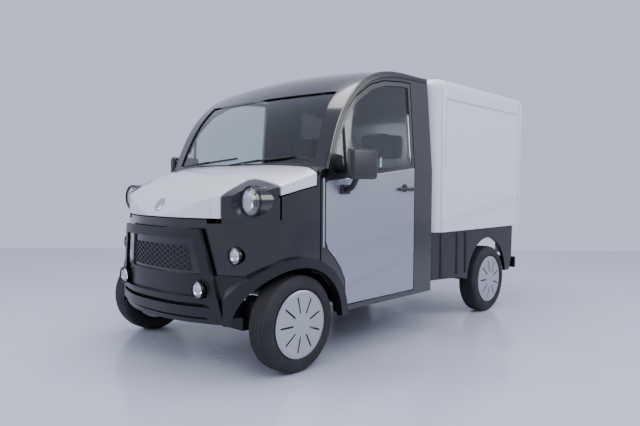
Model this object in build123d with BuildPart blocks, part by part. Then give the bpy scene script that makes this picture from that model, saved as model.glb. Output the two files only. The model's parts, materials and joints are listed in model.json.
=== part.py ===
from build123d import *
from math import atan2, cos, degrees, radians, sin
import os

# A two-seat microcar pickup with a closed moulded load box behind the cab.
# X runs forward, Y to the vehicle's left, Z up. The origin lies on the floor under the middle of the vehicle.
# Lengths called ahead are counted forwards from the front axle.

# Overall layout, in millimetres
wheelbase = 2155.0
nose_reach = 400.0
guard_proud = 36.0
front_overhang = nose_reach + guard_proud
rear_overhang = 540.0
overall_length = front_overhang + wheelbase + rear_overhang
front_axle_x = overall_length / 2 - front_overhang
rear_axle_x = front_axle_x - wheelbase
body_half_width = 745.0
panel_gap = 7.0
seat_gap = 0.4
running_gap = 0.08

# Wheels and steering
tyre_radius = 260.0
tyre_width = 142.0
tyre_face_y = 758.0
tyre_bead_radius = 160.4
hub_height = tyre_radius
rim_radius = 160.0
rim_wall = 10.0
rim_half_width = 64.0
flange_radius = 174.0
flange_width = 7.0
disc_thickness = 8.0
hub_boss_radius = 48.0
hub_boss_length = 52.0
spindle_radius = 17.0
cap_radius = 181.0
cap_thickness = 5.0
cap_dome = 7.0
cap_slots = 9
cap_slot_inner = 62.0
cap_slot_outer = 150.0
cap_slot_width = 10.0
kingpin_y = 640.0
kingpin_radius = 12.0
knuckle_radius = 24.0
arm_low = 165.0
arm_thickness = 25.0
upper_arm_low = 335.0
strut_radius = 24.0
strut_y = 545.0
strut_top = 640.0

# Cab
belt_height = 1095.0
roof_height = 1765.0
roof_side_drop = 38.0
screen_base_setback = 150.0
screen_bow = 60.0
screen_base_height = 1112.0
screen_base_side_drop = 17.0
cab_front_setback = 165.0
cowl_height = 1075.0
cab_rear_setback = 1290.0
cab_bottom = 275.0
tumblehome = 52.0
cab_wall = 40.0
floor_height = 325.0
floor_thickness = 12.0
glass_thickness = 6.0
glass_inset = 9.0

# Doors
door_front = 203.0
door_rear = 1072.0
door_bottom = 312.0
window_border = 26.0
belt_front = 1013.0
belt_rear = 1113.0
belt_band = 24.0
hinge_setback = 182.0
hinge_proud = 12.0

# Nose
nose_bottom = 262.0
nose_wall = 14.0
bonnet_edge_height = 818.0
bonnet_side_drop_rear = 45.0
bonnet_side_drop_front = 110.0
arch_radius = 300.0
flare_band = 52.0
flare_proud = 40.0
bumper_top = 520.0
bumper_proud = 16.0
bumper_wall = 12.0
lamp_height = 909.0
lamp_y = 591.0
lamp_radius = 74.0
lamp_setback = 205.0

# Load box
box_front_setback = 1335.0
box_half_width = 760.0
box_bottom = 672.0
box_top = 1750.0
box_wall = 30.0
box_corner_radius = 115.0
box_roof_radius = 60.0
rear_door_thickness = 36.0
skirt_y = 735.0
skirt_thickness = 24.0
skirt_bottom_front = 340.0
skirt_bottom_rear = 292.0
rear_arch_radius = 330.0

# Chassis
rail_y = 300.0
rail_width = 60.0
rail_depth = 80.0
rail_bottom = 240.0
rear_rail_bottom = 420.0
subframe_depth = 50.0


def ahead(distance):
    """X of a point this far ahead of the front axle."""
    return front_axle_x + distance


def save(piece, name):
    piece.label = name
    export_step(piece, f"parts/{name}.step")


def mirrored(piece):
    return mirror(piece, about=Plane.XZ)


def side_prism(points, low_y, high_y, grow=0.0):
    """A prism with a side outline of (ahead, height) points between two y values."""
    with BuildPart() as prism:
        with BuildSketch(Plane.XZ.offset(-high_y)) as outline:
            with BuildLine():
                Polyline(*[(ahead(x), z) for x, z in points], close=True)
            make_face()
            if grow:
                offset(amount=grow, kind=Kind.INTERSECTION)
        extrude(amount=high_y - low_y)
    return prism.part


def front_prism(points, rear, front, grow=0.0):
    """A prism with a front outline of (y, height) points between two distances ahead."""
    with BuildPart() as prism:
        with BuildSketch(Plane.YZ.offset(ahead(rear))):
            with BuildLine():
                Polyline(*points, close=True)
            make_face()
            if grow:
                offset(amount=grow, kind=Kind.INTERSECTION)
        extrude(amount=front - rear)
    return prism.part


def plan_prism(points, low, high, grow=0.0):
    """A prism with a plan outline of (ahead, y) points between two heights."""
    with BuildPart() as prism:
        with BuildSketch(Plane.XY.offset(low)):
            with BuildLine():
                Polyline(*[(ahead(x), y) for x, y in points], close=True)
            make_face()
            if grow:
                offset(amount=grow, kind=Kind.INTERSECTION)
        extrude(amount=high - low)
    return prism.part


def block(rear, front, low_y, high_y, low, high):
    """A box between two distances ahead, two y values and two heights."""
    with BuildPart() as piece:
        with BuildSketch(Plane.XY.offset(low)):
            with Locations((ahead((rear + front) / 2), (low_y + high_y) / 2)):
                Rectangle(front - rear, high_y - low_y)
        extrude(amount=high - low)
    return piece.part


def upright(x, y, radius, low, high):
    """A vertical round bar."""
    with BuildPart() as piece:
        with BuildSketch(Plane.XY.offset(low)):
            with Locations((ahead(x), y)):
                Circle(radius)
        extrude(amount=high - low)
    return piece.part


def cross_bar(x, z, radius, low_y, high_y):
    """A round bar that lies across the vehicle."""
    with BuildPart() as piece:
        with BuildSketch(Plane.XZ.offset(-high_y)):
            with Locations((ahead(x), z)):
                Circle(radius)
        extrude(amount=high_y - low_y)
    return piece.part


os.makedirs("parts", exist_ok=True)

# Body surfaces
# Each cab section rises along this line, as shares of its run back and its rise.
roof_line = [(0, 0), (0.059, 0.256), (0.145, 0.525), (0.262, 0.739), (0.388, 0.880), (0.540, 0.965), (0.738, 0.995), (1, 1)]
bonnet_line = [(400, 822), (352, 905), (285, 960), (180, 1012), (40, 1068), (-100, 1108), (-250, 1135)]
nose_plan = [(400, 0), (385, 200), (327, 390), (245, 560), (115, 680), (-60, 730), (-250, 745)]
below_everything = -400.0


def moved_in(points, inset):
    """The points of a line that runs back and up, each moved into the body by inset."""
    moved = []
    for i, (x, z) in enumerate(points):
        before = points[max(i - 1, 0)]
        after = points[min(i + 1, len(points) - 1)]
        run = Vector(after[0] - before[0], after[1] - before[1]).normalized()
        moved.append((x - run.Y * inset, z + run.X * inset))
    return moved


def cab_sides(inset, bottom=cab_bottom):
    """The space between the cab's leaning sides, each moved in by inset."""
    half = body_half_width - inset
    top_half = half - tumblehome
    eaves = roof_height - roof_side_drop
    with BuildPart() as sides:
        with BuildSketch(Plane.YZ.offset(ahead(-cab_rear_setback))):
            with BuildLine():
                Polyline(
                    (-half, bottom), (-half, belt_height), (-top_half, eaves), (-top_half, eaves + 200),
                    (top_half, eaves + 200), (top_half, eaves), (half, belt_height), (half, bottom), close=True,
                )
            make_face()
        extrude(amount=cab_rear_setback)
    return sides.part


def cab_volume(inset, bottom, rear_inset=0.0):
    """The closed form of the cab, its skin moved in by inset."""
    with BuildPart() as volume:
        for y in (-body_half_width, -500, -250, 0, 250, 500, body_half_width):
            share = (y / body_half_width) ** 2
            base_x = ahead(-screen_base_setback - screen_bow * share)
            base_z = screen_base_height - screen_base_side_drop * share
            end_x = ahead(-cab_rear_setback)
            end_z = roof_height - roof_side_drop * share
            line = moved_in([(base_x + (end_x - base_x) * a, base_z + (end_z - base_z) * b) for a, b in roof_line], inset)
            line[-1] = (end_x, line[-1][1])
            front = ahead(-cab_front_setback) - inset
            with BuildSketch(Plane.XZ.offset(-y)):
                with BuildLine():
                    Spline(*line)
                    Polyline(line[-1], (end_x, bottom), (front, bottom), (front, cowl_height - inset), line[0])
                make_face()
        loft()
        add(cab_sides(inset, bottom), mode=Mode.INTERSECT)
        if rear_inset:
            add(block(-cab_rear_setback - 1, -cab_rear_setback + rear_inset, -900, 900, bottom - 1, 2000), mode=Mode.SUBTRACT)
    return volume.part


def nose_volume(inset, bottom):
    """The closed form of the nose, its skin moved in by inset."""
    with BuildPart() as volume:
        for y in (-800, -700, -600, -450, -250, 0, 250, 450, 600, 700, 800):
            line = []
            for x, z in bonnet_line:
                share = (x - bonnet_line[-1][0]) / (nose_reach - bonnet_line[-1][0])
                drop = bonnet_side_drop_rear + (bonnet_side_drop_front - bonnet_side_drop_rear) * share
                line.append((ahead(x), z - drop * (abs(y) / body_half_width) ** 3.5))
            line = moved_in(line, inset)
            with BuildSketch(Plane.XZ.offset(-y)):
                with BuildLine():
                    Spline(*line)
                    Polyline(
                        line[-1], (ahead(-450), line[-1][1]), (ahead(-450), bottom), (ahead(520), bottom),
                        (ahead(520), line[0][1] - 2), line[0]
                    )
                make_face()
        loft()
        plan = moved_in(nose_plan, inset)
        rear_x, rear_y = plan[-1]
        with BuildSketch(Plane.XY.offset(bottom)):
            with BuildLine():
                Spline(*[(ahead(x), -y) for x, y in reversed(plan[1:])], *[(ahead(x), y) for x, y in plan])
                Polyline(
                    (ahead(rear_x), rear_y), (ahead(-450), rear_y), (ahead(-450), -rear_y), (ahead(rear_x), -rear_y)
                )
            make_face()
        extrude(amount=1400, mode=Mode.INTERSECT)
    return volume.part


cab_outer = cab_volume(0, cab_bottom)
cab_inner = cab_volume(cab_wall, below_everything, cab_wall)
nose_outer = nose_volume(0, nose_bottom)
nose_inner = nose_volume(nose_wall, below_everything)
nose_face = nose_volume(-seat_gap, nose_bottom - 100)
bumper_face = nose_volume(-bumper_proud, nose_bottom)

# Chassis frame
frame_front = 250.0
frame_rear = wheelbase + rear_overhang - 40
kick_start = 1700.0
kick_end = 1860.0
subframe_low = box_bottom - seat_gap - subframe_depth
frame_crossings = (200.0, -1240.0, -1640.0)
post_places = (-1400.0, -1900.0, -2600.0)
tow_plate = 12.0
tow_hole_radius = 6.5
tow_hole_y = 90.0
tow_hole_z = 56.0
rail_line = [
    (frame_front, rail_bottom), (frame_front, rail_bottom + rail_depth), (-kick_start, rail_bottom + rail_depth),
    (-kick_end, rear_rail_bottom + rail_depth), (-frame_rear, rear_rail_bottom + rail_depth),
    (-frame_rear, rear_rail_bottom), (-kick_end - 20, rear_rail_bottom), (-kick_start - 20, rail_bottom),
]
with BuildPart() as chassis_frame:
    for side in (-1, 1):
        add(side_prism(rail_line, side * rail_y - rail_width / 2, side * rail_y + rail_width / 2))
        add(block(-frame_rear, -box_front_setback, side * rail_y - rail_width / 2, side * rail_y + rail_width / 2,
                  subframe_low, subframe_low + subframe_depth))
        for place in post_places:
            low = rail_bottom if place > -kick_start else rear_rail_bottom
            add(block(place - 25, place + 25, side * rail_y - 25, side * rail_y + 25, low + 10, subframe_low + 10))
    for place in frame_crossings:
        add(block(place - 30, place + 30, -rail_y, rail_y, rail_bottom, rail_bottom + rail_depth))
    for place in (-frame_rear + 25, -kick_end - 25):
        add(block(place - 25, place + 25, -rail_y, rail_y, rear_rail_bottom, rear_rail_bottom + rail_depth))
    for place in (-box_front_setback - 40, -frame_rear + 40):
        add(block(place - 25, place + 25, -box_half_width + 60, box_half_width - 60, subframe_low, subframe_low + subframe_depth))
    add(block(-frame_rear - tow_plate, -frame_rear, -rail_y, rail_y, rear_rail_bottom - 30, rear_rail_bottom + rail_depth))
    with Locations(Plane((ahead(-frame_rear - tow_plate), 0, rear_rail_bottom + 5), x_dir=(0, 1, 0), z_dir=(-1, 0, 0))):
        with GridLocations(tow_hole_y, tow_hole_z, 2, 2):
            Hole(tow_hole_radius, depth=tow_plate + 60)
save(chassis_frame.part, "chassis_frame")

# Front suspension, fixed to the rails
arm_half = 24.0
riser_y = rail_y + rail_width / 2 + 20
with BuildPart() as front_suspension:
    add(block(-60, 60, -riser_y, riser_y, arm_low, rail_bottom - seat_gap))
    for side in (-1, 1):
        low_y, high_y = sorted((side * (rail_y + rail_width / 2 + 2), side * (riser_y + 20)))
        add(block(-arm_half, arm_half, low_y, high_y, arm_low, upper_arm_low + arm_thickness))
        low_y, high_y = sorted((side * riser_y, side * kingpin_y))
        for low in (arm_low, upper_arm_low):
            add(block(-arm_half, arm_half, low_y, high_y, low, low + arm_thickness))
        for low in (arm_low, upper_arm_low):
            add(upright(0, side * kingpin_y, arm_half, low, low + arm_thickness))
        add(upright(0, side * kingpin_y, kingpin_radius, arm_low, upper_arm_low + 5))
        add(upright(0, side * strut_y, strut_radius, upper_arm_low + 5, strut_top))
save(front_suspension.part, "front_suspension")

# Steered knuckles
spindle_end = tyre_face_y - 22
with BuildPart() as knuckle:
    with BuildSketch(Plane.XY.offset(arm_low + arm_thickness + 1)) as knuckle_outline:
        with Locations((front_axle_x, kingpin_y)):
            Circle(knuckle_radius)
    extrude(amount=upper_arm_low - arm_low - arm_thickness - 2)
    add(cross_bar(0, hub_height, spindle_radius, kingpin_y + kingpin_radius + 6, spindle_end))
    add(cross_bar(0, hub_height, hub_boss_radius, kingpin_y + kingpin_radius + 6, kingpin_y + kingpin_radius + 16))
    add(upright(0, kingpin_y, kingpin_radius + running_gap, 0, 500), mode=Mode.SUBTRACT)
save(knuckle.part, "knuckle_left")
save(mirrored(knuckle.part), "knuckle_right")

# Rear axle with its springs
spring_radius = 42.0
with BuildPart() as rear_axle:
    add(cross_bar(-wheelbase, hub_height, 34, -tyre_face_y + tyre_width + 30, tyre_face_y - tyre_width - 30))
    add(cross_bar(-wheelbase, hub_height, spindle_radius, -spindle_end, spindle_end))
    for side in (-1, 1):
        low_y, high_y = sorted((side * (rail_y - 40), side * (rail_y + 40)))
        add(block(-wheelbase - 40, -wheelbase + 40, low_y, high_y, hub_height - 50, hub_height + 50))
        add(upright(-wheelbase, side * rail_y, spring_radius, hub_height + 40, rear_rail_bottom - seat_gap))
save(rear_axle.part, "rear_axle")

# Closed heavy masses, one plain block each
with BuildPart() as drive_unit:
    add(block(-wheelbase + 45, -wheelbase + 330, -170, 170, 200, 400))
save(drive_unit.part, "drive_unit")
with BuildPart() as battery_pack:
    add(block(-1600, -1310, -260, 260, 250, 560))
save(battery_pack.part, "battery_pack")

# Wheels and tyres
wheel_centre_y = tyre_face_y - tyre_width / 2
disc_offset = rim_half_width - 26
cap_inner_face = rim_half_width
# Half of the tyre's section, from the bead out to the tread: half width, radius.
tyre_line = [(0.78, 0), (0.78, 0.18), (0.97, 0.35), (1, 0.55), (0.94, 0.80), (0.74, 0.96), (0.45, 1)]


def axle_plane(axle_ahead):
    """Upright plane through an axle, its x running out from the hub and its y to the left."""
    return Plane((ahead(axle_ahead), wheel_centre_y, hub_height), x_dir=(0, 0, 1), z_dir=(-1, 0, 0))


def wheel_solid(axle_ahead):
    """A left wheel: rim, disc, hub boss and slotted cap, turned about its axle."""
    bore = spindle_radius + running_gap
    with BuildPart() as wheel:
        with BuildSketch(axle_plane(axle_ahead)):
            with BuildLine():
                Polyline(
                    (rim_radius - rim_wall, rim_half_width), (rim_radius - rim_wall, -rim_half_width),
                    (flange_radius, -rim_half_width), (flange_radius, -rim_half_width + flange_width),
                    (rim_radius, -rim_half_width + flange_width), (rim_radius, rim_half_width - flange_width),
                    (flange_radius, rim_half_width - flange_width), (flange_radius, rim_half_width), close=True,
                )
            make_face()
            with Locations(((rim_radius + bore) / 2 - 2, disc_offset)):
                Rectangle(rim_radius - bore - 4, disc_thickness)
            with Locations(((hub_boss_radius + bore) / 2, disc_offset + 10 - hub_boss_length / 2)):
                Rectangle(hub_boss_radius - bore, hub_boss_length)
            with BuildLine():
                Polyline(
                    (0, cap_inner_face + cap_dome), (60, cap_inner_face + cap_dome), (165, cap_inner_face + 1),
                    (165, cap_inner_face - 1), (cap_radius - 8, cap_inner_face - 1), (cap_radius, cap_inner_face),
                    (cap_radius, cap_inner_face + 2), (cap_radius - 10, cap_inner_face + cap_thickness),
                    (60, cap_inner_face + cap_dome + cap_thickness), (0, cap_inner_face + cap_dome + cap_thickness),
                    close=True,
                )
            make_face()
        revolve(axis=Axis((ahead(axle_ahead), 0, hub_height), (0, 1, 0)))
        slot_plane = Plane((ahead(axle_ahead), tyre_face_y + 30, hub_height), x_dir=(1, 0, 0), z_dir=(0, 1, 0))
        with BuildSketch(slot_plane):
            with PolarLocations((cap_slot_inner + cap_slot_outer) / 2, cap_slots):
                SlotOverall(cap_slot_outer - cap_slot_inner, cap_slot_width)
        extrude(amount=-(tyre_face_y + 30 - wheel_centre_y - cap_inner_face + 4), mode=Mode.SUBTRACT)
    return wheel.part


def tyre_solid(axle_ahead):
    """A left tyre, seated between its rim's flanges."""
    depth = tyre_radius - tyre_bead_radius
    half = tyre_width / 2
    side = [(tyre_bead_radius + b * depth, a * half) for a, b in tyre_line]
    with BuildPart() as tyre:
        with BuildSketch(axle_plane(axle_ahead)):
            with BuildLine():
                Polyline(*side, *[(r, -y) for r, y in reversed(side)], close=True)
            make_face()
        revolve(axis=Axis((ahead(axle_ahead), 0, hub_height), (0, 1, 0)))
    return tyre.part


for place, axle_ahead in (("front", 0), ("rear", -wheelbase)):
    wheel = wheel_solid(axle_ahead)
    tyre = tyre_solid(axle_ahead)
    save(wheel, f"wheel_{place}_left")
    save(mirrored(wheel), f"wheel_{place}_right")
    save(tyre, f"tyre_{place}_left")
    save(mirrored(tyre), f"tyre_{place}_right")

# Cab shell
door_outline = [
    (-door_front, 690), (-door_front, 1040), (-240, 1105), (-278, 1226), (-362, 1376), (-486, 1510), (-645, 1606),
    (-788, 1648), (-970, 1666), (-door_rear, 1668), (-door_rear, door_bottom), (-377, door_bottom), (-371, 456),
    (-329, 531), (-276, 594), (-224, 640),
]
window_outline = [
    (-266, belt_front + 52), (-304, 1215), (-386, 1362), (-505, 1488), (-657, 1580), (-794, 1621), (-970, 1639),
    (-door_rear + window_border, 1640), (-door_rear + window_border, belt_rear + belt_band), (-656, 1078),
]
screen_outline = [(-652, 1124), (652, 1124), (598, 1556), (-598, 1556)]
roof_panel_outline = [(-545, -520), (-545, 520), (-1235, 520), (-1235, -520)]
inside_y = body_half_width - tumblehome - cab_wall - 12
outside_y = body_half_width + 60
bulkhead_arch = arch_radius + 14
inner_arch_y = 470.0
with BuildPart() as cab_frame:
    add(cab_outer)
    add(cab_inner, mode=Mode.SUBTRACT)
    add(front_prism(screen_outline, -640, -100, seat_gap), mode=Mode.SUBTRACT)
    add(plan_prism(roof_panel_outline, 1500, 1900, seat_gap), mode=Mode.SUBTRACT)
    for low_y, high_y in ((inside_y, outside_y), (-outside_y, -inside_y)):
        add(side_prism(door_outline, low_y, high_y, panel_gap), mode=Mode.SUBTRACT)
    for low_y, high_y in ((inner_arch_y, outside_y), (-outside_y, -inner_arch_y)):
        add(cross_bar(0, hub_height, bulkhead_arch, low_y, high_y), mode=Mode.SUBTRACT)
    rail_clear_y = rail_y + rail_width / 2 + 10
    add(block(-1400, 0, -rail_clear_y, rail_clear_y, 0, rail_bottom + rail_depth + 2), mode=Mode.SUBTRACT)
save(cab_frame.part, "cab_frame")

with BuildPart() as roof_panel:
    add(cab_outer)
    add(cab_volume(14, below_everything, cab_wall), mode=Mode.SUBTRACT)
    add(plan_prism(roof_panel_outline, 1500, 1900), mode=Mode.INTERSECT)
save(roof_panel.part, "roof_panel")

with BuildPart() as windscreen:
    add(cab_volume(glass_inset, cab_bottom))
    add(cab_volume(glass_inset + glass_thickness, below_everything, cab_wall), mode=Mode.SUBTRACT)
    add(front_prism(screen_outline, -640, -100), mode=Mode.INTERSECT)
save(windscreen.part, "windscreen")

with BuildPart() as floor_pan:
    add(block(-cab_rear_setback + cab_wall + seat_gap, -cab_front_setback - cab_wall - seat_gap,
              -body_half_width + cab_wall + seat_gap, body_half_width - cab_wall - seat_gap,
              floor_height, floor_height + floor_thickness))
    for low_y, high_y in ((inner_arch_y, outside_y), (-outside_y, -inner_arch_y)):
        add(cross_bar(0, hub_height, bulkhead_arch + 6, low_y, high_y), mode=Mode.SUBTRACT)
save(floor_pan.part, "floor_pan")

# Doors
with BuildPart() as door_panel:
    add(cab_outer)
    add(cab_sides(cab_wall - 2, below_everything), mode=Mode.SUBTRACT)
    add(side_prism(door_outline, 0, outside_y), mode=Mode.INTERSECT)
    add(side_prism(window_outline, 0, outside_y), mode=Mode.SUBTRACT)
with BuildPart() as door_glass:
    add(cab_sides(glass_inset))
    add(cab_sides(glass_inset + glass_thickness, below_everything), mode=Mode.SUBTRACT)
    add(side_prism(window_outline, 0, outside_y, -seat_gap), mode=Mode.INTERSECT)
mirror_y = 860.0
mirror_outline = [(-262, 1040), (-300, 1026), (-478, 1036), (-497, 1100), (-490, 1190), (-440, 1204), (-300, 1196), (-258, 1140)]
handle_height = 976.0
with BuildPart() as door_fittings:
    add(side_prism(mirror_outline, mirror_y - 25, mirror_y + 25))
    add(side_prism([(-316, 945), (-396, 945), (-392, 1000), (-330, 1003)], body_half_width + seat_gap, mirror_y - 60))
    add(side_prism([(-330, 985), (-360, 985), (-372, 1060), (-342, 1060)], mirror_y - 80, mirror_y - 10))
    add(side_prism([(-910, handle_height - 12), (-1050, handle_height - 12), (-1050, handle_height + 12), (-910, handle_height + 12)],
                   body_half_width + seat_gap, body_half_width + 22))
for piece, name in ((door_panel, "panel"), (door_glass, "glass"), (door_fittings, "fittings")):
    save(piece.part, f"door_left_{name}")
    save(mirrored(piece.part), f"door_right_{name}")

# Bonnet, cowl and nose
bonnet_outline = [
    (600, bonnet_edge_height), (90, bonnet_edge_height), (90, 940), (-24, 972), (-134, 996), (-134, 1038), (-178, 1078),
    (-178, 1300), (600, 1300),
]
bonnet_rear_line = [(-178, 642), (-150, 480), (-126, 300), (-115, 0)]
behind_bonnet = [(-134, 800), (-134, 735)] + bonnet_rear_line + [(x, -y) for x, y in reversed(bonnet_rear_line[:-1])] + [
    (-134, -735), (-134, -800), (-500, -800), (-500, 800)]
lamp_notch = [(600, 388), (318, 395), (300, 455), (112, 462), (85, 500), (85, 650), (90, 800), (600, 800)]
lamp_notch_right = [(x, -y) for x, y in lamp_notch]
nose_top_left = [(330, 790), (282, 792), (247, 803), (184, 845), (157, 873), (99, 928)]
nose_panel_outline = [(600, bonnet_edge_height - panel_gap), (330, bonnet_edge_height - panel_gap)] + nose_top_left + [
    (-24, 965), (-134 - panel_gap, 989), (-134 - panel_gap, 1034), (-164, 1068), (-cab_front_setback + seat_gap, 1068),
    (-cab_front_setback + seat_gap, nose_bottom - 10), (600, nose_bottom - 10),
]
with BuildPart() as bonnet:
    add(nose_outer)
    add(nose_inner, mode=Mode.SUBTRACT)
    add(side_prism(bonnet_outline, -outside_y, outside_y), mode=Mode.INTERSECT)
    add(plan_prism(behind_bonnet, 0, 1500), mode=Mode.SUBTRACT)
    for notch in (lamp_notch, lamp_notch_right):
        add(plan_prism(notch, 0, 1500), mode=Mode.SUBTRACT)
    add(cab_volume(-panel_gap, cab_bottom), mode=Mode.SUBTRACT)
save(bonnet.part, "bonnet")

with BuildPart() as cowl:
    add(nose_outer)
    add(nose_inner, mode=Mode.SUBTRACT)
    add(plan_prism(behind_bonnet, cowl_height, 1500, -panel_gap), mode=Mode.INTERSECT)
    add(side_prism([(-600, 1000), (-600, 1300), (0, 1300), (0, 1000)], -outside_y, outside_y), mode=Mode.INTERSECT)
    add(cab_volume(-seat_gap, cab_bottom), mode=Mode.SUBTRACT)
save(cowl.part, "cowl")

lamp_barrel_radius = lamp_radius + 10
turn_lamp_ahead = 257.0
turn_lamp_y = 534.0
turn_lamp_height = 626.0
turn_lamp_radius = 45.0
fog_lamp_ahead = 351.0
fog_lamp_y = 375.0
fog_lamp_height = 445.0
fog_lamp_radius = 45.0


def lamp_bar(side, y, z, radius, rear, front):
    """A round bar that points forward, for lamps and their bores."""
    with BuildPart() as bar:
        with BuildSketch(Plane.YZ.offset(ahead(rear))):
            with Locations((side * y, z)):
                Circle(radius)
        extrude(amount=front - rear)
    return bar.part


grille_outline = [(-300, 535), (300, 535), (265, 668), (-265, 668)]
intake_outline = [(-400, 285), (400, 285), (372, 380), (-372, 380)]
with BuildPart() as nose_panel:
    add(nose_outer)
    add(nose_inner, mode=Mode.SUBTRACT)
    add(side_prism(nose_panel_outline, -outside_y, outside_y), mode=Mode.INTERSECT)
    bonnet_zone = side_prism(bonnet_outline, -outside_y, outside_y, panel_gap)
    for notch in (lamp_notch, lamp_notch_right):
        bonnet_zone -= plan_prism(notch, 0, 1500, -panel_gap)
    add(bonnet_zone, mode=Mode.SUBTRACT)
    for outline in (grille_outline, intake_outline):
        add(front_prism(outline, 200, 600), mode=Mode.SUBTRACT)
    for low_y, high_y in ((inner_arch_y, outside_y), (-outside_y, -inner_arch_y)):
        add(cross_bar(0, hub_height, arch_radius, low_y, high_y), mode=Mode.SUBTRACT)
    for side in (-1, 1):
        add(lamp_bar(side, lamp_y, lamp_height, lamp_barrel_radius + seat_gap, 100, 300), mode=Mode.SUBTRACT)
        add(lamp_bar(side, turn_lamp_y, turn_lamp_height, turn_lamp_radius + seat_gap, 150, 300), mode=Mode.SUBTRACT)
save(nose_panel.part, "nose_panel")

housing_outline = [(x, z + seat_gap) for x, z in nose_top_left] + [(92, 1200), (600, 1200), (600, 790)]
with BuildPart() as headlamp_housings:
    add(nose_volume(2, nose_bottom))
    add(side_prism(housing_outline, -outside_y, outside_y), mode=Mode.INTERSECT)
    notches = plan_prism(lamp_notch, 0, 1500, -panel_gap) + plan_prism(lamp_notch_right, 0, 1500, -panel_gap)
    add(notches, mode=Mode.INTERSECT)
    for side in (-1, 1):
        add(lamp_bar(side, lamp_y, lamp_height, lamp_barrel_radius, 110, lamp_setback))
        add(lamp_bar(side, lamp_y, lamp_height, lamp_radius + 2, 150, 500), mode=Mode.SUBTRACT)
save(headlamp_housings.part, "headlamp_housings")

with BuildPart() as lamp_lenses:
    for side in (-1, 1):
        add(lamp_bar(side, lamp_y, lamp_height, lamp_radius, 150 + seat_gap, lamp_setback + 4))
        add(lamp_bar(side, turn_lamp_y, turn_lamp_height, turn_lamp_radius, turn_lamp_ahead - 30, turn_lamp_ahead + 12))
        add(lamp_bar(side, fog_lamp_y, fog_lamp_height, fog_lamp_radius, fog_lamp_ahead + 12, fog_lamp_ahead + 36))
save(lamp_lenses.part, "lamp_lenses")

# Bumper with its wheel-arch flares
arch_zone = [(-cab_front_setback, nose_bottom), (600, nose_bottom), (600, bumper_top), (-cab_front_setback, bumper_top)]
flare_inner_y = 505.0
flares = nose_volume(-flare_proud, nose_bottom)
flares -= nose_face
flares &= cross_bar(0, hub_height, arch_radius + flare_band, -outside_y - 40, outside_y + 40)
flares -= block(-600, 600, -flare_inner_y, flare_inner_y, 0, 1500)
with BuildPart() as bumper:
    add(bumper_face)
    add(nose_face, mode=Mode.SUBTRACT)
    add(side_prism(arch_zone, -outside_y, outside_y), mode=Mode.INTERSECT)
    add(flares)
    add(front_prism(intake_outline, 200, 600), mode=Mode.SUBTRACT)
    for low_y, high_y in ((inner_arch_y, outside_y + 60), (-outside_y - 60, -inner_arch_y)):
        add(cross_bar(0, hub_height, arch_radius, low_y, high_y), mode=Mode.SUBTRACT)
    add(cab_volume(-seat_gap, cab_bottom - 100), mode=Mode.SUBTRACT)
    for side in (-1, 1):
        add(lamp_bar(side, fog_lamp_y, fog_lamp_height, fog_lamp_radius + seat_gap, 200, 600), mode=Mode.SUBTRACT)
save(bumper.part, "bumper")

# Guard frame that hugs the nose
guard_outer = [(-500, 300), (500, 300), (368, 762), (-368, 762)]
guard_bar = 52.0
with BuildPart() as front_guard:
    add(nose_volume(-guard_proud, nose_bottom))
    add(nose_volume(-bumper_proud - seat_gap, nose_bottom - 100), mode=Mode.SUBTRACT)
    guard_ring = front_prism(guard_outer, 150, 600) - front_prism(guard_outer, 100, 700, -guard_bar)
    guard_ring += front_prism([(-480, 372), (480, 372), (474, 404), (-474, 404)], 150, 600)
    add(guard_ring, mode=Mode.INTERSECT)
    for side in (-1, 1):
        add(lamp_bar(side, fog_lamp_y, fog_lamp_height, fog_lamp_radius + seat_gap, 200, 600), mode=Mode.SUBTRACT)
save(front_guard.part, "front_guard")

with BuildPart() as grille:
    add(nose_volume(4, nose_bottom))
    add(nose_volume(12, nose_bottom - 100), mode=Mode.SUBTRACT)
    openings = front_prism(grille_outline, 200, 600, -seat_gap) + front_prism(intake_outline, 200, 600, -seat_gap)
    add(openings, mode=Mode.INTERSECT)
save(grille.part, "grille")

# Dashboard, steering and seats
dash_half_width = body_half_width - cab_wall - 8
dash_outline = [(-212, 1020), (-262, 1062), (-330, 1072), (-430, 1040), (-452, 930), (-400, 850), (-212, 800)]
column_y = 330.0
wheel_setback = 520.0
steer_height = 1010.0
steer_tilt = 60.0
steer_radius = 180.0
steer_grip = 13.0
steer_shaft = 10.0
column_radius = 30.0
column_length = 340.0
wheel_plane = Plane((ahead(-wheel_setback), column_y, steer_height), x_dir=(0, 1, 0),
                    z_dir=(-sin(radians(steer_tilt)), 0, cos(radians(steer_tilt))))
with BuildPart() as dashboard:
    add(side_prism(dash_outline, -dash_half_width, dash_half_width))
    with BuildSketch(wheel_plane.offset(-column_length - 40)):
        Circle(column_radius + seat_gap)
    extrude(amount=column_length, mode=Mode.SUBTRACT)
save(dashboard.part, "dashboard")

with BuildPart() as steering_column:
    with BuildSketch(wheel_plane.offset(-column_length)):
        Circle(column_radius)
    extrude(amount=column_length - 42)
    with BuildSketch(wheel_plane.offset(-60)):
        Circle(steer_shaft)
    extrude(amount=60)
save(steering_column.part, "steering_column")

with BuildPart() as steering_wheel:
    with BuildSketch(Plane(wheel_plane.origin, x_dir=wheel_plane.x_dir, z_dir=wheel_plane.y_dir)):
        with Locations((steer_radius, 0)):
            Circle(steer_grip)
    revolve(axis=Axis(wheel_plane.origin, wheel_plane.z_dir))
    with BuildSketch(wheel_plane.offset(-30)):
        Circle(45)
    extrude(amount=36)
    with BuildSketch(wheel_plane.offset(-12)):
        for turn in (0, 180, 270):
            with PolarLocations(steer_radius / 2 + 10, 1, start_angle=turn):
                Rectangle(steer_radius - 30, 26)
    extrude(amount=10)
    with BuildSketch(wheel_plane.offset(-40)):
        Circle(steer_shaft + running_gap)
    extrude(amount=42, mode=Mode.SUBTRACT)
save(steering_wheel.part, "steering_wheel")

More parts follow.
